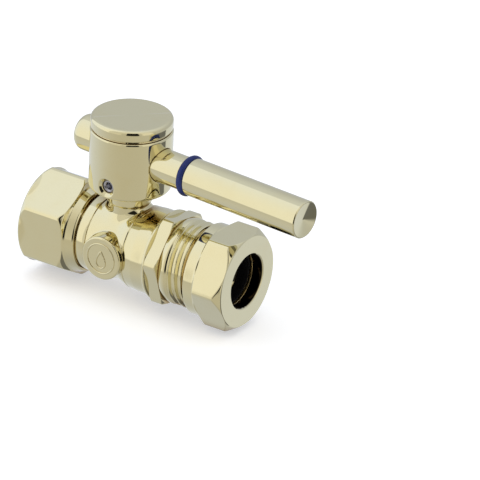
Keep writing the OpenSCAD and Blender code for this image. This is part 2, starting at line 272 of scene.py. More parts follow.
def field_gradient(field, p, h=0.01):
    """Central differences of the field at each point."""
    g = np.empty_like(p)
    for axis in range(3):
        d = np.zeros(3)
        d[axis] = h
        g[:, axis] = (field(*(p + d).T) - field(*(p - d).T)) / (2 * h)
    return g


def implicit_mesh(field, low, high, step):
    """Surface nets over field(x, y, z) < 0, with each point then pulled onto the true surface."""
    axes = [np.arange(a - 2 * step, b + 3 * step, step) for a, b in zip(low, high)]
    grid = np.meshgrid(*axes, indexing="ij", sparse=True)
    values = field(*grid)
    inside = values < 0
    shape = np.array(values.shape) - 1
    corner_in = [inside[i:shape[0] + i, j:shape[1] + j, k:shape[2] + k] for i, j, k in CELL_CORNERS]
    count = sum(c.astype(np.int8) for c in corner_in)
    cells = np.argwhere((count > 0) & (count < 8))
    number = np.full(shape, -1)
    number[tuple(cells.T)] = np.arange(len(cells))
    total = np.zeros((len(cells), 3))
    crossings = np.zeros(len(cells))
    for a, b in CELL_EDGES:
        va = values[tuple((cells + CELL_CORNERS[a]).T)]
        vb = values[tuple((cells + CELL_CORNERS[b]).T)]
        cut = (va < 0) != (vb < 0)
        t = np.where(cut, va / np.where(cut, va - vb, 1), 0)
        point = CELL_CORNERS[a] + t[:, None] * (CELL_CORNERS[b] - CELL_CORNERS[a])
        total += np.where(cut[:, None], point, 0)
        crossings += cut
    origin = np.array([axis[0] for axis in axes])
    verts = origin + (cells + total / crossings[:, None]) * step
    for _ in range(4):
        g = field_gradient(field, verts)
        size = np.maximum((g * g).sum(axis=1), 0.05)
        move = g * (field(*verts.T) / size)[:, None]
        verts -= np.clip(move, -step / 2, step / 2)
    faces = []
    for axis in range(3):
        u, v = (axis + 1) % 3, (axis + 2) % 3
        ahead = np.roll(inside, -1, axis=axis)
        cross = inside != ahead
        take = [slice(1, n - 1) for n in values.shape]
        nodes = np.argwhere(cross[tuple(take)]) + 1
        du = np.eye(3, dtype=int)[u]
        dv = np.eye(3, dtype=int)[v]
        ring = [nodes - du - dv, nodes - dv, nodes, nodes - du]
        quad = np.stack([number[tuple(np.clip(c, 0, shape - 1).T)] for c in ring], axis=-1)
        flip = ~inside[tuple(nodes.T)]
        quad[flip] = quad[flip][:, ::-1]
        faces += quad[(quad >= 0).all(axis=1)].tolist()
    return verts, faces


def capped(radial, along, low, high, k):
    """A turned solid: radial distance field, cut square between two stations with rounded edges."""
    return smooth_max(radial, np.abs(along - (low + high) / 2) - (high - low) / 2, k)


# ---------------------------------------------------------------- valve body

# All sizes below are millimetres. Stations along the pipe are counted from the stem's axis.
BAND_X = (STEM_X - 8.45, STEM_X - 6.1)
BAND_R = 9.45
BODY_NECK_R = 9.3           # between the connector and the band
BARREL_R = 9.25
SHOULDER_R = 10.4
RISE_X = (STEM_X + 1, STEM_X + 4.6)
COLLAR_X = STEM_X + 11.2
COLLAR_R = 11.1
FLANGE_X = (STEM_X + 12, STEM_X + 15.3)
FLANGE_AF = 20.5
FLANGE_TURN = math.radians(-11)
THREAD_R = 10.45
THREAD_X = STEM_X + 17.1
THREAD_DEPTH = 1.05
THREAD_ROOT_R = THREAD_R - THREAD_DEPTH
SOCKET_X = STEM_X + 17.5
CONE_X = STEM_X + 26
CAVITY_R = 6.9
NECK_R = 5.0
NECK_LIP_R = 5.35
NECK_LIP_Z = BODY_HIGH[2] - 2.1
BOSS_R = 5.4
BOSS_FACE = -BODY_LOW[1] - 0.2
STEM_BORE_R = 2.55
SHOULDER_RECESS_R = 3.56    # holds the stem's shoulder, up to SHOULDER_RECESS_TOP
SHOULDER_RECESS_TOP = 8.27
SHOULDER_RECESS_LOW = -0.07


def body_field(x, y, z):
    """Barrel, stem neck and side boss, blended as a forging is, with the passages cut out."""
    around_pipe = np.sqrt(y * y + z * z)
    t = np.clip((x - RISE_X[0]) / (RISE_X[1] - RISE_X[0]), 0, 1)
    barrel_r = BARREL_R + (SHOULDER_R - 0.46 - BARREL_R) * (1 - np.cos(math.pi * t)) / 2
    barrel = capped((around_pipe - barrel_r) * 0.95, x, BAND_X[0] + 0.4, FLANGE_X[0] + 1, 0.2)
    around_stem = np.sqrt((x - STEM_X) ** 2 + y * y)
    neck = capped(around_stem - NECK_R, z, 0, BODY_HIGH[2], 0.25)
    lip = capped(around_stem - NECK_LIP_R, z, NECK_LIP_Z, BODY_HIGH[2], 0.25)
    around_boss = np.sqrt((x - STEM_X) ** 2 + z * z)
    boss = capped(around_boss - BOSS_R, -y, 4, BOSS_FACE, 0.45)
    solid = smooth_min(smooth_min(barrel, neck, 1.5), smooth_min(boss, lip, 0.2), 0.5)
    chamber = capped(around_pipe - CAVITY_R, x, 0, SEAT_HIGH[0] + 0.05, 0.1)
    passage = around_pipe - PORT_R
    socket = np.maximum(around_pipe - TUBE_R, SOCKET_X - x)
    stem_hole = np.maximum(around_stem - STEM_BORE_R, -z)
    recess_mid = (SHOULDER_RECESS_LOW + SHOULDER_RECESS_TOP) / 2
    recess_half = (SHOULDER_RECESS_TOP - SHOULDER_RECESS_LOW) / 2
    recess = np.maximum(around_stem - SHOULDER_RECESS_R, np.abs(z - recess_mid) - recess_half)
    hollow = np.minimum(np.minimum(chamber, passage), np.minimum(socket, stem_hole))
    return smooth_max(solid, -np.minimum(hollow, recess), 0.12)


def make_body():
    low = (BAND_X[0], -BOSS_FACE, -SHOULDER_R)
    high = (FLANGE_X[0] + 1, SHOULDER_R, BODY_HIGH[2])
    verts, faces = implicit_mesh(body_field, low, high, 0.19)
    shell = new_object("body_shell", verts, faces, "housing", "body_brass")
    x0 = BODY_LOW[0]
    band = rounded([
        (x0, CAVITY_R + 0.7, 0), (x0, BODY_NECK_R, 0.15), (BAND_X[0], BODY_NECK_R, 0.12),
        (BAND_X[0], BAND_R, 0.16), (BAND_X[1], BAND_R, 0.16), (BAND_X[1], BARREL_R - 0.6, 0),
        (BAND_X[1] - 0.6, CAVITY_R + 0.7, 0)], step=0.8)
    band_ring = lathe("body_band", band, "housing", "body_brass")
    sleeve_x = RISE_X[1]
    sleeve = rounded([
        (sleeve_x + 1.5, PORT_R + 3.4, 0), (sleeve_x, SHOULDER_R - 0.8, 0),
        (sleeve_x, SHOULDER_R - 0.22, 0.05), (sleeve_x + 0.2, SHOULDER_R - 0.2, 0.05),
        (sleeve_x + 0.4, SHOULDER_R - 0.3, 0.05), (sleeve_x + 0.6, SHOULDER_R - 0.18, 0.05),
        (sleeve_x + 3, SHOULDER_R, 2),
        (COLLAR_X - 0.3, SHOULDER_R, 0.15), (COLLAR_X, COLLAR_R - 0.1, 0.1),
        (COLLAR_X + 0.25, COLLAR_R, 0.15), (FLANGE_X[0] - 0.15, COLLAR_R, 0.1),
        (FLANGE_X[0] + 0.15, SHOULDER_R - 0.4, 0), (FLANGE_X[0] + 0.15, PORT_R + 3.4, 0)],
        step=0.8)
    outlet_sleeve = lathe("body_outlet_sleeve", sleeve, "housing", "body_brass")
    flange = wrench_flange()
    thread = outlet_thread()
    boss_mark()
    for piece in (shell, band_ring, outlet_sleeve, flange, thread):
        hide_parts("valve_body")


def wrench_flange():
    """Narrow hexagon by which the body is held when the nut is tightened."""
    corner = FLANGE_AF / math.sqrt(3)
    low, high = FLANGE_X
    outline = rounded([
        (low, PORT_R + 3, 0), (low, corner - 0.5, 0.12), (low + 0.2, corner + 0.05, 0.1),
        (high - 0.35, corner + 0.05, 0.1), (high, corner - 0.9, 0.12), (high, PORT_R + 3, 0)],
        step=0.25)
    return lathe("wrench_flange", outline, "housing", "body_brass",
                 shape=hexagonal(FLANGE_AF, FLANGE_TURN, 0.16), segments=384)


def thread_groove(x, angle, start, end, pitch, depth):
    """Depth of a rounded helical groove at each point, fading out at both ends of the thread."""
    phase = np.mod((x - start) / pitch - angle / TAU, 1)
    groove = np.clip(1.28 - 2.6 * np.abs(phase - 0.5), 0, 1)
    groove = np.sin(groove * math.pi / 2) ** 1.4
    fade = np.clip((x - start) / (0.7 * pitch), 0, 1) * np.clip((end - x) / (0.5 * pitch), 0, 1)
    return depth * groove * fade


def outlet_thread():
    """Bead beside the flange, then the thread, over the tapered mouth that takes the washer."""
    start, end = THREAD_X, BODY_HIGH[0]

    def shape(x, r, angle):
        outer = r > THREAD_R - 1.7
        groove = thread_groove(x, angle, start, end + THREAD_PITCH, THREAD_PITCH, THREAD_DEPTH)
        return x, np.where(outer, np.maximum(r - groove, np.minimum(r, THREAD_ROOT_R)), r)

    outline = rounded([
        (FLANGE_X[1] - 0.5, TUBE_R, 0), (FLANGE_X[1] - 0.5, THREAD_R - 0.6, 0),
        (FLANGE_X[1] + 0.05, THREAD_R - 0.3, 0.2), (FLANGE_X[1] + 1.1, THREAD_R + 0.04, 3),
        (FLANGE_X[1] + 2.3, THREAD_R - 0.1, 1),
        (end - 1, THREAD_R, 0.3), (end, THREAD_R - 1, 0.1), (end, 8.7, 0.1),
        (CONE_X, TUBE_R, 0.2)], step=0.12)
    return lathe("outlet_thread", outline, "housing", "body_brass", shape=shape, segments=256)


def relief_line(name, path, width, height, level):
    """A low rounded rib along a closed path on the boss's face, as (across, up) points."""
    path = np.array(path)
    ahead = np.roll(path, -1, axis=0) - np.roll(path, 1, axis=0)
    ahead /= np.linalg.norm(ahead, axis=1)[:, None]
    side = np.stack([ahead[:, 1], -ahead[:, 0]], axis=1)
    steps = 8
    verts = []
    for k in range(steps):
        a = TAU * k / steps
        across = path + side * (math.cos(a) * width / 2)
        out = level + height * (0.2 + 0.8 * math.sin(a))
        verts.append(np.stack([STEM_X + across[:, 0], np.full(len(path), -out), across[:, 1]], 1))
    n = len(path)
    faces = [[k * n + i, k * n + (i + 1) % n, (k + 1) % steps * n + (i + 1) % n,
              (k + 1) % steps * n + i] for k in range(steps) for i in range(n)]
    verts = np.concatenate(verts)
    new_object(name, verts, oriented(verts, faces), "housing", "body_brass")


def boss_mark():
    """A plain water drop in a ring, standing a little proud of the boss."""
    ring = [(3.75 * math.cos(a), 3.75 * math.sin(a)) for a in np.arange(96) * TAU / 96]
    drop = []
    for a in np.arange(72) * TAU / 72:
        point = 0.5 + 0.5 * math.cos(a)
        drop.append((1.55 * math.sin(a) * (1 - 0.75 * point ** 1.6), -0.35 + 2.1 * math.cos(a)))
    relief_line("boss_ring", ring, 0.42, 0.2, BOSS_FACE)
    relief_line("boss_drop", drop, 0.45, 0.2, BOSS_FACE)


# ---------------------------------------------------------------- inlet connector and slip nut

INLET_AF = 22.2
INLET_PITCH = 25.4 / 18
NUT_AF = 22.2
NUT_SKIRT_R = 11.2
NUT_HEX_LENGTH = 7.8
HEX_END = 12.6              # where the inlet's flats run out
MOUTH_RIM_R = 11.55
NOSE_R = 7.6                # the connector's screwed end, in the body
NOSE_END = STEM_X - 7.9
PILOT_R = 6.8
CONE_WASHER_R = 8.64


def inlet_connector():
    """Hexagon with a round rim and a female thread at its mouth, and a collar by the body."""
    corner = INLET_AF / math.sqrt(3)
    face = BODY_LOW[0]
    end = INLET_HIGH[0]
    thread_end = mount("inlet")["dims"]["length_mm"]

    def shape(x, r, angle):
        rim = MOUTH_RIM_R - 0.8 * np.clip((x - 0.5) / 1.8, 0, 1)
        flats = hexagon_radius(angle, INLET_AF, math.radians(30), 0.4)
        r = smooth_min(r, smooth_max(flats, rim, 0.3), 0.25)
        wall = (np.abs(r - INLET_R) < 0.05) & (x < thread_end - 0.2)
        cut = thread_groove(x, angle, 0.6, thread_end, INLET_PITCH, 0.75)
        return x, np.where(wall, r + cut, r)

    outline = rounded([
        (0, INLET_R + 1.25, 0.15), (0, MOUTH_RIM_R - 0.25, 0.25), (0.45, MOUTH_RIM_R + 0.25, 0.5),
        (1.9, corner + 0.05, 0.6), (HEX_END - 1.5, corner + 0.05, 0.6),
        (HEX_END - 0.4, corner - 0.9, 0.5), (HEX_END, INLET_AF / 2 - 0.12, 0.15),
        (HEX_END + 0.35, 10.68, 0.3),
        (face - 0.3, 10.08, 0.4), (face, 9.8, 0.12), (face, NOSE_R, 0), (NOSE_END, NOSE_R, 0.1),
        (NOSE_END, PILOT_R, 0), (end, PILOT_R, 0.15), (end, PORT_R, 0.1),
        (thread_end + 1.2, PORT_R, 0.2), (thread_end, INLET_R, 0.1), (1.0, INLET_R, 0.05)],
        step=0.14)
    piece = lathe("inlet_hexagon", outline, "housing", "connector_brass", shape, segments=384)
    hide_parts("inlet_connector")


def slip_nut():
    """Outlet nut: a round skirt, then the hexagon, threaded inside."""
    corner = NUT_AF / math.sqrt(3)
    low, high = NUT_LOW[0], NUT_HIGH[0]
    hex_low = high - NUT_HEX_LENGTH
    floor_x = FRICTION_HIGH[0] + 0.02

    def shape(x, r, angle):
        hexed = smooth_min(r, hexagon_radius(angle, NUT_AF, 0, 0.35), 0.1)
        blend = np.clip((x - hex_low + 0.1) / 0.2, 0, 1)
        thread = thread_groove(x, angle, low, floor_x, THREAD_PITCH, 0.5)
        inside = (np.abs(r - THREAD_R - 0.05) < 0.04) & (x > low + 0.6) & (x < floor_x - 0.4)
        return x, np.where(inside, r + thread, r + (hexed - r) * blend)

    outline = rounded([
        (low, THREAD_R + 0.35, 0.1), (low, NUT_SKIRT_R, 0.3), (hex_low, NUT_SKIRT_R, 0.5),
        (hex_low + 0.8, corner + 0.05, 0.4), (high - 1.8, corner + 0.05, 0.3),
        (high - 0.03, NUT_AF / 2 + 0.08, 0.5), (high, TUBE_R + 0.3, 0.12),
        (high - 0.3, TUBE_R, 0.1), (floor_x, TUBE_R, 0.1), (floor_x, THREAD_R + 0.05, 0.1),
        (low + 0.4, THREAD_R + 0.05, 0.1)],
        step=0.2)
    piece = lathe("outlet_nut", outline, "nut", "nut_brass", shape, segments=384)
    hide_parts("slip_nut")


def slip_seal():
    """The rubber cone washer and the brass ring that the nut presses on it."""
    low, high = CONE_LOW[0], CONE_HIGH[0]
    cone = lathe("tube_washer", rounded([
        (low, TUBE_R, 0.1), (low, TUBE_R + 0.47, 0.1), (BODY_HIGH[0], CONE_WASHER_R, 0.2),
        (high, CONE_WASHER_R, 0.2), (high, TUBE_R, 0.2)], step=0.4), "slip_seal", "washer_rubber")
    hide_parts("cone_washer")
    low, high = FRICTION_LOW[0], FRICTION_HIGH[0]
    ring = lathe("slip_ring", rounded([
        (low, TUBE_R, 0.12), (low, THREAD_R - 0.75, 0.12), (high, THREAD_R - 0.75, 0.12),
        (high, TUBE_R, 0.12)], step=0.4), "slip_seal", "stem_brass")
    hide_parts("friction_ring")


# ---------------------------------------------------------------- handle

HUB_R = (HUB_HIGH[0] - HUB_LOW[0]) / 2
HUB_SHOULDER = 29.75
HUB_GROOVE_R = 9.2
CAP_R = 9.7
SPIGOT_R = 7.5
LEVER_Z = (RING_LOW[2] + RING_HIGH[2]) / 2
GRIP_R = 4.5
ROD_R = 4.05
ROD_ROOT = -0.5
STUB_LOW, STUB_HIGH = box_mm("rear_stub")
STUB_Z = (STUB_LOW[2] + STUB_HIGH[2]) / 2
STUB_R = (STUB_HIGH[2] - STUB_LOW[2]) / 2
STUB_REACH = 14.8
STUB_ROOT = 1.5
RING_AT = 17.8
RING_GROOVE_W = 2.0
RING_GROOVE_R = 3.15
RING_SECTION = 1.78
SCREW_Z = 17.65
SCREW_R = 1.5
SCREW_TURN = math.radians(3.5)
SCREW_RECESS = 1.1
STEM_TOP = box_mm("stem")[1][2]
STOP_SLOT_R = 3.6           # the stop pin's curved slot in the hub's foot, about the stem
STOP_SLOT_HALF = 0.76
STOP_SLOT_TOP = 16.7
GRUB_X = 4.6
GRUB_HOLE_R = 2.03
LEVER_REACH = 51.1
DISH_DEPTH = 0.7
ON_HANDLE = Matrix.Translation((STEM_X * MM, 0, 0)) @ Matrix.Rotation(-OPEN_ANGLE, 4, "Z")
UPRIGHT = Matrix.Rotation(-math.pi / 2, 4, "Y")


def lifted(z):
    """Turns a piece made about X into the handle's frame, z millimetres up the stem."""
    return ON_HANDLE @ Matrix.Translation((0, 0, z * MM))


def hub_field(x, y, z):
    """The hub about the stem axis, with its bores, in the handle's own frame."""
    around_stem = np.sqrt(x * x + y * y)
    barrel = capped(around_stem - HUB_R, z, HUB_LOW[2] + 0.7, HUB_SHOULDER, 0.5)
    foot = capped(around_stem - HUB_R, z, HUB_LOW[2], HUB_SHOULDER - 2, 1.0)
    throat = capped(around_stem - HUB_GROOVE_R, z, HUB_SHOULDER - 2, CAP_LOW[2] - 0.02, 0.1)
    spigot = capped(around_stem - SPIGOT_R, z, HUB_SHOULDER - 2, HUB_HIGH[2], 0.1)
    solid = np.minimum(np.minimum(barrel, foot), np.minimum(throat, spigot))
    around_rod = np.sqrt(y * y + (z - LEVER_Z) ** 2)
    rod_hole = np.maximum(around_rod - ROD_R - 0.03, ROD_ROOT - 0.05 - x)
    around_stub = np.sqrt(y * y + (z - STUB_Z) ** 2)
    stub_hole = np.maximum(around_stub - STUB_R - 0.03, x + STUB_ROOT - 0.05)
    stem_hole = np.maximum(around_stem - 2.53, z - STEM_TOP - 0.1)
    across = x * math.cos(SCREW_TURN) + y * math.sin(SCREW_TURN)
    inward = y * math.cos(SCREW_TURN) - x * math.sin(SCREW_TURN)
    around_screw = np.sqrt(across * across + (z - SCREW_Z) ** 2)
    screw_hole = np.maximum(around_screw - SCREW_R - 0.03, inward)
    sink = np.maximum((around_screw - SCREW_R - 0.03 + (HUB_R - 0.85 + inward)) * 0.7, inward)
    grub_hole = np.maximum(np.sqrt((x - GRUB_X) ** 2 + y * y) - GRUB_HOLE_R, LEVER_Z - z)
    beside_slot = np.where(np.arctan2(y, x) > math.pi / 2, -1.0, 8.0)
    slot = np.maximum(np.abs(around_stem - STOP_SLOT_R) - STOP_SLOT_HALF, beside_slot)
    for a in (math.pi / 2, math.pi):
        end_x = STOP_SLOT_R * math.cos(a)
        end_y = STOP_SLOT_R * math.sin(a)
        slot = np.minimum(slot, np.sqrt((x - end_x) ** 2 + (y - end_y) ** 2) - STOP_SLOT_HALF)
    slot = np.maximum(slot, z - STOP_SLOT_TOP)
    holes = np.minimum(np.minimum(rod_hole, stub_hole), np.minimum(stem_hole, screw_hole))
    holes = np.minimum(holes, np.minimum(sink, np.minimum(grub_hole, slot)))
    return smooth_max(solid, -holes, 0.14)


def handle_hub():
    low = (-HUB_R, -HUB_R, HUB_LOW[2])
    high = (HUB_R, HUB_R, HUB_HIGH[2])
    verts, faces = implicit_mesh(hub_field, low, high, 0.17)
    piece = new_object("hub_barrel", verts, faces, "handle", "handle_brass", ON_HANDLE)
    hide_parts("handle_hub")


def hub_cap():
    """Disc with a rounded rim, hollow below, that covers the hub's spigot."""
    low, high = CAP_LOW[2], CAP_HIGH[2]
    outline = rounded([
        (high, 0, 0), (high, CAP_R, 0.95), (low, CAP_R, 0.3), (low, SPIGOT_R + 0.02, 0.1),
        (HUB_HIGH[2] + 0.1, SPIGOT_R + 0.02, 0.1), (HUB_HIGH[2] + 0.1, 0, 0)],
        step=0.5, closed=False, arc_steps=9)
    piece = lathe("hub_cap_disc", outline, "handle", "cap_brass", closed=False,
                  segments=256, turn=ON_HANDLE @ UPRIGHT)
    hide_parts("hub_cap")


def lever_rod():
    """Rod with the ring's groove, a stouter grip, and a shallow dish turned in its tip."""
    groove = (RING_AT - RING_GROOVE_W / 2, RING_AT + RING_GROOVE_W / 2)
    rim = GRIP_R - 0.3
    dish = [(LEVER_REACH - DISH_DEPTH * (1 - (r / rim) ** 1.1), r, 0)
            for r in np.linspace(rim - 0.1, 0, 12)]
    outline = rounded([
        (ROD_ROOT, 0, 0), (ROD_ROOT, ROD_R, 0.3), (groove[0], ROD_R, 0.12),
        (groove[0], RING_GROOVE_R, 0.2), (groove[1], RING_GROOVE_R, 0.2),
        (groove[1], GRIP_R, 0.15), (LEVER_REACH - 0.22, GRIP_R, 0.1),
        (LEVER_REACH, GRIP_R - 0.2, 0.1), (LEVER_REACH, rim, 0)] + dish,
        step=0.7, closed=False)
    piece = lathe("lever_rod_turned", outline, "handle", "lever_brass", closed=False,
                  turn=lifted(LEVER_Z))
    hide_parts("lever_rod")


def rear_stub():
    """Short round-ended stub on the far side of the hub."""
    outline = rounded([
        (-STUB_ROOT, 0, 0), (-STUB_ROOT, STUB_R, 0.2), (-STUB_REACH, STUB_R, 1.9),
        (-STUB_REACH, 0, 0)], step=0.6, closed=False, arc_steps=8)
    piece = lathe("rear_stub_turned", outline, "handle", "lever_brass", closed=False,
                  turn=lifted(STUB_Z))
    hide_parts("rear_stub")


def indicator_ring():
    """O-ring in the rod's groove."""
    section = RING_SECTION / 2
    centre_r = RING_GROOVE_R + section
    outline = np.array([
        (RING_AT + section * math.cos(a), centre_r + section * math.sin(a))
        for a in np.arange(28) * TAU / 28])
    piece = lathe("ring_blue", outline, "handle", "indicator_rubber", segments=128,
                  turn=lifted(LEVER_Z))
    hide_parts("indicator_ring")


def set_screw():
    """Headless screw with a hexagonal socket, in the countersink of the hub."""
    tip = 1.92
    face = HUB_R - SCREW_RECESS
    floor = face - 1.9
    socket_r = 0.92

    def shape(x, r, angle):
        socket = (r < socket_r + 0.01) & (x > floor - 0.01)
        return x, np.where(socket, r * hexagon_radius(angle, 1.6, 0, 0.08) / socket_r, r)

    outline = rounded([
        (tip, 0, 0), (tip, 1.0, 0.1), (tip + 0.6, 1.0, 0.05), (tip + 0.9, SCREW_R, 0.1),
        (face - 0.15, SCREW_R, 0.05), (face, SCREW_R - 0.15, 0.05), (face, socket_r + 0.22, 0.05),
        (face - 0.2, socket_r, 0), (floor, socket_r, 0), (floor - 0.4, 0, 0)],
        step=0.25, closed=False)
    aim = Matrix.Rotation(SCREW_TURN - math.pi / 2, 4, "Z")
    piece = lathe("set_screw", outline, "handle", "screw_steel", shape, segments=96,
                  closed=False, turn=lifted(SCREW_Z) @ aim)
    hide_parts("hub_set_screw")


def handle_washer():
    """Thin ring between the neck and the hub."""
    low, high = WASHER_LOW[2], WASHER_HIGH[2]
    outer = (WASHER_HIGH[0] - WASHER_LOW[0]) / 2
    outline = rounded([
        (low, STEM_BORE_R, 0.1), (low, outer, 0.2), (high, outer, 0.2),
        (high, STEM_BORE_R, 0.1)], step=0.4)
    piece = lathe("neck_washer", outline, "housing", "body_brass",
                  turn=Matrix.Translation((STEM_X * MM, 0, 0)) @ UPRIGHT)
    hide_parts("handle_washer")


# ---------------------------------------------------------------- materials

class Nodes:
    """A node tree under construction, with short calls for the nodes used here."""

    def __init__(self, owner):
        owner.use_nodes = True
        self.tree = owner.node_tree

    def add(self, kind, **settings):
        node = self.tree.nodes.new(kind)
        for key, value in settings.items():
            if key in node.inputs:
                node.inputs[key].default_value = value
            else:
                setattr(node, key, value)
        return node

    def feed(self, node, name, value):
        if isinstance(value, bpy.types.NodeSocket):
            self.tree.links.new(value, node.inputs[name])
        else:
            node.inputs[name].default_value = value

    def math(self, operation, a, b=0.0):
        node = self.add("ShaderNodeMath", operation=operation)
        self.feed(node, 0, a)
        self.feed(node, 1, b)
        return node.outputs[0]

    def spread(self, value, low, high, to_low=0.0, to_high=1.0, kind="SMOOTHSTEP"):
        node = self.add("ShaderNodeMapRange", interpolation_type=kind)
        self.feed(node, "Value", value)
        self.feed(node, "From Min", low)
        self.feed(node, "From Max", high)
        self.feed(node, "To Min", to_low)
        self.feed(node, "To Max", to_high)
        return node.outputs["Result"]

    def blend(self, share, a, b):
        """Value a where share is 0 and value b where it is 1."""
        node = self.add("ShaderNodeMix", data_type="FLOAT")
        self.feed(node, 0, share)
        self.feed(node, 2, a)
        self.feed(node, 3, b)
        return node.outputs[0]

    def mix(self, share, a, b):
        """Colour a where share is 0 and colour b where it is 1."""
        node = self.add("ShaderNodeMix", data_type="RGBA")
        self.feed(node, "Factor", share)
        color_a, color_b = (s for s in node.inputs if s.type == "RGBA")
        for socket, color in ((color_a, a), (color_b, b)):
            if isinstance(color, bpy.types.NodeSocket):
                self.tree.links.new(color, socket)
            else:
                socket.default_value = (*color, 1)
        return next(s for s in node.outputs if s.type == "RGBA")


class Finish(Nodes):
    """A surface material: noise in millimetres of the object, and a principled shader."""

    def __init__(self, name):
        self.material = bpy.data.materials.new(name)
        super().__init__(self.material)
        self.shader = self.tree.nodes["Principled BSDF"]
        self.place = self.add("ShaderNodeTexCoord").outputs["Object"]

    def noise(self, size_mm, detail=3.0, stretch=(1, 1, 1)):
        scaled = self.add("ShaderNodeMapping")
        self.feed(scaled, "Vector", self.place)
        scaled.inputs["Scale"].default_value = [1 / (k * size_mm * MM) for k in stretch]
        node = self.add("ShaderNodeTexNoise", Scale=1.0, Detail=detail, Roughness=0.55)
        self.feed(node, "Vector", scaled.outputs["Vector"])
        return node.outputs["Fac"]

    def bump(self, height, depth_mm, below=None):
        node = self.add("ShaderNodeBump", Strength=1.0, Distance=depth_mm * MM)
        self.feed(node, "Height", height)
        if below:
            self.feed(node, "Normal", below)
        return node.outputs["Normal"]

    def crevice(self, reach_mm, samples=4):
        """1 in open air, falling towards 0 in corners and grooves."""
        node = self.add("ShaderNodeAmbientOcclusion", samples=samples, Distance=reach_mm * MM)
        return node.outputs["AO"]

    def off_axis(self):
        """Distance from the pipe's axis in millimetres."""
        place = self.add("ShaderNodeSeparateXYZ")
        self.feed(place, "Vector", self.place)
        across = self.math("MULTIPLY", place.outputs["Y"], place.outputs["Y"])
        up = self.math("MULTIPLY", place.outputs["Z"], place.outputs["Z"])
        return self.math("DIVIDE", self.math("SQRT", self.math("ADD", across, up)), MM)

    def edge(self):
        """1 on convex edges, which are lightened for wear and as a painted highlight; 0 elsewhere.
        """
        point = self.add("ShaderNodeNewGeometry").outputs["Pointiness"]
        return self.spread(point, 0.53, 0.62)

    def finish(self, color, roughness, normal, **settings):
        self.feed(self.shader, "Base Color", color)
        self.feed(self.shader, "Roughness", roughness)
        self.feed(self.shader, "Normal", normal)
        for key, value in settings.items():
            self.feed(self.shader, key, value)
        return self.material


PALE_BRASS = (0.806, 0.745, 0.479)
WARM_BRASS = (0.79, 0.70, 0.41)
# painted shade colour for corners and grooves
CREVICE_SHADE = (0.46, 0.33, 0.12)
# painted shade colour for deep hollows
HOLLOW_SHADE = (0.42, 0.27, 0.09)
# black for painted shadow in bores and deep holes
SHADE_BLACK = (0.035, 0.024, 0.015)
AROUND_PIPE = (0.05, 1, 1)     # turning lines of pieces turned about X
AROUND_STEM = (1, 1, 0.05)


def polished_brass(name, lines, ripple=0.004, shine=0.055, bore=None):
    """Plated and buffed brass: faint turning lines, slow ripples, painted shade in the corners and
    hollows, edges lightened for wear and a painted highlight.

    The walls of the passage, nearer to the pipe's axis than bore (mm), are painted black as shade.
    """
    m = Finish(name)
    cloud = m.noise(5.0)
    buffed = m.noise(1.2, 5.0, lines)
    grain = m.noise(0.12, 2.0)
    open_air = m.spread(m.crevice(0.7), 0.25, 0.75)
    color = m.mix(m.spread(cloud, 0.3, 0.75), PALE_BRASS, WARM_BRASS)
    color = m.mix(m.math("MULTIPLY", m.spread(cloud, 0.35, 0.8), 0.35), PALE_BRASS, color)
    # painted shade: darker, warmer brass in corners and grooves, where short-reach occlusion finds
    # walls close by
    color = m.mix(open_air, CREVICE_SHADE, color)
    # painted shade deep in hollows: browner, then near black, where long-reach occlusion finds
    # walls all round
    hollow = m.crevice(9.0, 16)
    color = m.mix(m.spread(hollow, 0.2, 0.55), HOLLOW_SHADE, color)
    color = m.mix(m.spread(hollow, 0.08, 0.32), (0.012, 0.008, 0.004), color)
    # painted shadow: the passage walls inside the bore are painted black
    if bore:
        color = m.mix(m.spread(m.off_axis(), bore + 0.05, bore + 0.2), SHADE_BLACK, color)
    # convex edges lightened: partly rubbed wear, partly a painted edge highlight
    color = m.mix(m.math("MULTIPLY", m.edge(), 0.5), color, (0.85, 0.80, 0.58))
    dull = m.math("MULTIPLY", m.math("SUBTRACT", 1.0, open_air), 0.12)
    roughness = m.math("ADD", m.spread(buffed, 0.3, 0.8, shine * 0.7, shine * 1.5), dull)
    normal = m.bump(m.noise(3.5, 1.0), ripple)
    normal = m.bump(buffed, 0.0008, normal)
    return m.finish(color, roughness, m.bump(grain, 0.0002, normal), Metallic=1.0)


def machined_brass(name):
    """Bare brass with the fine rings that a lathe tool leaves, painted black as shade deep in
    hollows.
    """
    m = Finish(name)
    rings = m.noise(0.25, 2.0, (0.2, 8, 8))
    color = m.mix(m.spread(m.noise(2.5), 0.3, 0.7), (0.72, 0.53, 0.24), (0.80, 0.63, 0.33))
    # painted shade: black deep in hollows, found by long-reach occlusion
    color = m.mix(m.spread(m.crevice(9.0, 16), 0.3, 0.7), SHADE_BLACK, color)
    roughness = m.spread(rings, 0.2, 0.8, 0.18, 0.34)
    return m.finish(color, roughness, m.bump(rings, 0.004), Metallic=1.0)


def plated_metal(name, dark, light, roughness, lines=(1, 1, 1)):
    """Zinc or chrome plate over steel or brass."""
    m = Finish(name)
    scuffs = m.noise(0.5, 4.0, lines)
    color = m.mix(m.spread(m.noise(1.5), 0.3, 0.7), dark, light)
    spread = m.spread(scuffs, 0.3, 0.75, roughness * 0.7, roughness * 1.5)
    return m.finish(color, spread, m.bump(scuffs, 0.002), Metallic=1.0)


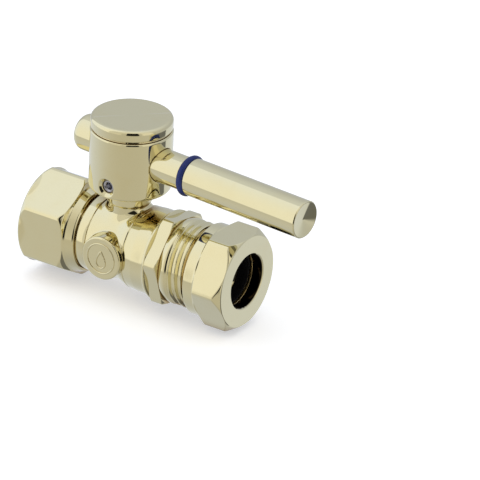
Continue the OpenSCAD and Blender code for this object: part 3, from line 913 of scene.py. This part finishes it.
def moulded_rubber(name, color, bloom, roughness):
    """Soft rubber with a pale bloom in patches and a fine matt grain, and painted shade underneath.
    """
    m = Finish(name)
    patches = m.math("MULTIPLY", m.spread(m.noise(1.6, 4.0), 0.45, 0.8), 0.5)
    grain = m.noise(0.15, 3.0)
    worn = m.spread(grain, 0.3, 0.7, roughness - 0.08, roughness + 0.1)
    normal = m.bump(grain, 0.006)
    # painted shade: surfaces facing down are darkened to near black
    facing = m.add("ShaderNodeSeparateXYZ")
    m.feed(facing, "Vector", m.add("ShaderNodeNewGeometry").outputs["Normal"])
    lit_side = m.spread(facing.outputs["Z"], -0.95, -0.35)
    shaded = m.mix(lit_side, (0.004, 0.005, 0.010), m.mix(patches, color, bloom))
    return m.finish(shaded, worn, normal, **{"Specular IOR Level": 0.35})


def waxy_plastic(name):
    """Milky PTFE of the ball seats."""
    m = Finish(name)
    cloud = m.noise(1.8, 3.0)
    color = m.mix(m.spread(cloud, 0.3, 0.7), (0.72, 0.72, 0.68), (0.83, 0.83, 0.80))
    return m.finish(color, m.spread(cloud, 0.2, 0.8, 0.35, 0.5), m.bump(m.noise(0.3), 0.003),
                    **{"Subsurface Weight": 0.2, "Subsurface Scale": 0.5 * MM})


def make_materials():
    return {
        "body_brass": polished_brass("body_brass", (1, 1, 1), 0.010, 0.06, bore=TUBE_R),
        "connector_brass": polished_brass("connector_brass", AROUND_PIPE, ripple=0.016),
        "handle_brass": polished_brass("handle_brass", AROUND_STEM, ripple=0.003, shine=0.05),
        "cap_brass": polished_brass("cap_brass", (1, 1, 1), ripple=0.003, shine=0.08),
        "lever_brass": polished_brass("lever_brass", AROUND_PIPE, ripple=0.003),
        "nut_brass": polished_brass("nut_brass", AROUND_PIPE, 0.006, bore=TUBE_R),
        "stem_brass": machined_brass("stem_brass"),
        "ball_chrome": plated_metal("ball_chrome", (0.55, 0.56, 0.58), (0.64, 0.65, 0.66), 0.08),
        "screw_steel": plated_metal("screw_steel", (0.42, 0.42, 0.47), (0.58, 0.58, 0.64), 0.24),
        "indicator_rubber": moulded_rubber("indicator_rubber", (0.010, 0.024, 0.150),
                                           (0.022, 0.045, 0.210), 0.42),
        "seal_rubber": moulded_rubber("seal_rubber", (0.012, 0.012, 0.012),
                                      (0.03, 0.03, 0.03), 0.5),
        "washer_rubber": moulded_rubber("washer_rubber", (0.009, 0.009, 0.010),
                                        (0.025, 0.025, 0.025), 0.5),
        "seat_plastic": waxy_plastic("seat_plastic"),
    }


def paint_everything():
    """Gives each new piece its slot's material, and each shown CAD node the record's slot."""
    materials = make_materials()
    slots = {row["node"]: row["material_slot"] for row in frame["record"]["subparts"]}
    for thing in bpy.context.scene.objects:
        if thing.type == "MESH" and not thing.get("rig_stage"):
            slot = thing.get("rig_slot") or slots[thing["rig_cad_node"]]
            thing.data.materials.clear()
            thing.data.materials.append(materials[slot])


# ---------------------------------------------------------------- studio and camera

CAMERA_AZIMUTH = 32.13      # degrees from straight in front, towards the outlet
CAMERA_ELEVATION = 26.89
CAMERA_ROLL = 2.6
CAMERA_DISTANCE = 0.942
CAMERA_SHIFT = (0.026301, 0.00028)     # metres, right and up, so that the valve sits left
CAMERA_LENS = 300
FLOOR_GAP = 0.05


def window(n, value, centre, half, soft):
    """1 where value is within half of centre, with soft sides."""
    away = n.math("ABSOLUTE", n.math("SUBTRACT", value, centre))
    return n.spread(away, half + soft / 2, half - soft / 2)


def studio_room():
    """Light room with a big soft box on the left, a dark gap behind the camera, and a table."""
    world = bpy.data.worlds.new("studio_room")
    bpy.context.scene.world = world
    n = Nodes(world)
    look = n.add("ShaderNodeTexCoord").outputs["Generated"]
    turned = n.add("ShaderNodeVectorRotate", rotation_type="Z_AXIS")
    n.feed(turned, "Vector", look)
    n.feed(turned, "Angle", -math.radians(CAMERA_AZIMUTH))
    split = n.add("ShaderNodeSeparateXYZ")
    n.feed(split, "Vector", turned.outputs["Vector"])
    right, away, up = (split.outputs[k] for k in range(3))
    front = n.math("MULTIPLY", away, -1.0)
    azimuth = n.math("MULTIPLY", n.math("ARCTAN2", right, front), 180 / math.pi)
    elevation = n.math("MULTIPLY", n.math("ARCSINE", up), 180 / math.pi)
    tint = n.mix(n.spread(front, -0.6, 0.9), (0.95, 1.0, 1.14), (1.04, 1.0, 0.90))
    level = n.spread(elevation, 10, 85, 0.56, 0.86)
    panels = [
        # azimuth and half width, elevation and half height, softness (degrees), brightness
        (-98, 38, 33, 47, 5, 1.0),
        (-43, 17, 8, 22, 6, 0.72),
        (46, 15, 15, 34, 6, 0.82),
        (5, 17, 15, 36, 3, 0.015),
    ]
    for azimuth_at, half, elevation_at, high, soft, brightness in panels:
        share = n.math("MULTIPLY", window(n, azimuth, azimuth_at, half, soft),
                       window(n, elevation, elevation_at, high, soft))
        level = n.blend(share, level, brightness)
    table = n.spread(front, -1.0, 1.0, 0.80, 0.56)
    table = n.math("MULTIPLY", table, n.spread(elevation, -80, -30, 0.72, 1.0))
    dim = n.math("MULTIPLY", window(n, azimuth, 85, 25, 4), window(n, elevation, -40, 19, 5))
    table = n.blend(dim, table, 0.17)
    lit = n.blend(n.spread(elevation, -11, -21), level, table)
    n.feed(n.tree.nodes["Background"], "Color", tint)
    n.feed(n.tree.nodes["Background"], "Strength", lit)


def studio_floor():
    """A plain white table top, just under the lowest corner of the valve."""
    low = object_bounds()[0]
    side = 4.0
    mesh = bpy.data.meshes.new("table_top")
    corners = [(-side, -side), (side, -side), (side, side), (-side, side)]
    height = low[2] - FLOOR_GAP * MM
    mesh.from_pydata([(x, y, height) for x, y in corners], [], [(0, 1, 2, 3)])
    floor = bpy.data.objects.new("table_top", mesh)
    bpy.context.collection.objects.link(floor)
    floor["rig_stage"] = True
    floor.visible_glossy = False
    m = Finish("table_white")
    speck = m.noise(40.0, 2.0)
    color = m.mix(speck, (0.88, 0.88, 0.88), (0.90, 0.90, 0.90))
    mesh.materials.append(m.finish(color, 0.9, m.bump(m.noise(2.0), 0.002), **{
        "Emission Color": (1, 1, 1, 1), "Emission Strength": 0.5}))


def studio_camera():
    """Long lens, above and to the outlet side, aimed so that the valve sits to the left."""
    azimuth = math.radians(CAMERA_AZIMUTH)
    elevation = math.radians(CAMERA_ELEVATION)
    roll = math.radians(CAMERA_ROLL)
    back = Vector((math.sin(azimuth) * math.cos(elevation),
                   -math.cos(azimuth) * math.cos(elevation), math.sin(elevation)))
    level = Vector((math.cos(azimuth), math.sin(azimuth), 0))
    upward = back.cross(level)
    right = level * math.cos(roll) + upward * math.sin(roll)
    up = upward * math.cos(roll) - level * math.sin(roll)
    lens = bpy.data.cameras.new("studio_camera")
    lens.lens = CAMERA_LENS
    lens.clip_start = 0.01
    camera = bpy.data.objects.new("studio_camera", lens)
    bpy.context.collection.objects.link(camera)
    place = Matrix((right, up, back)).transposed().to_4x4()
    place.translation = (Vector((STEM_X * MM, 0, 0)) + back * CAMERA_DISTANCE
                         + right * CAMERA_SHIFT[0] + up * CAMERA_SHIFT[1])
    camera.matrix_world = place
    bpy.context.scene.camera = camera


# ---------------------------------------------------------------- the whole scene

make_body()
inlet_connector()
slip_nut()
slip_seal()
handle_hub()
hub_cap()
lever_rod()
rear_stub()
indicator_ring()
set_screw()
handle_washer()
paint_everything()
studio_room()
studio_floor()
studio_camera()
bpy.context.scene.view_settings.view_transform = "Standard"
